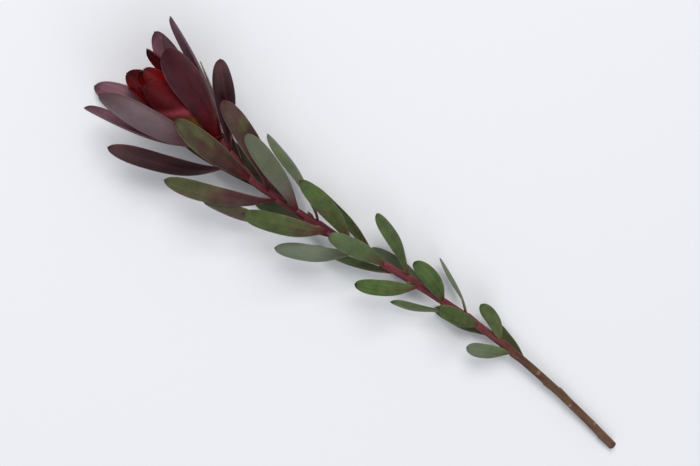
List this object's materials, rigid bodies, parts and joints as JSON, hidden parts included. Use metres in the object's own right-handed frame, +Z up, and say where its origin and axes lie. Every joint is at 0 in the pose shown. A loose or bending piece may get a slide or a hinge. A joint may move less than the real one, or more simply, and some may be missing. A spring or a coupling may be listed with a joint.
{
  "type": "leucadendron stem",
  "caption": "Cut conebush stem lying down: a woody stem with leathery leaves set in a spiral and a head of cupped plum and scarlet bracts round a small flower cone.",
  "frame": {"origin": "middle of the outline's footprint, at the height of the lowest points, on the table", "axes": "+X along the stem from the cut end to the head, +Z up from the table the stem lies on, +Y to the left seen from the cut end"},
  "size_m": [0.5978, 0.1202, 0.0867],
  "materials": {
    "foliage": "waxy satin leaves, green to olive and purple-brown",
    "bark": "smooth dull bark, dark red-brown",
    "plum_bract": "waxy satin, plum and maroon with a grey bloom",
    "scarlet_bract": "satin, scarlet with a yellow-green base",
    "cone": "dull scales, yellow-green and brown"
  },
  "bodies": {
    "root": {"leafy_stem": "foliage", "outer_bracts": "plum_bract", "inner_bracts": "scarlet_bract", "flower_cone": "cone"}
  },
  "joints": []
}
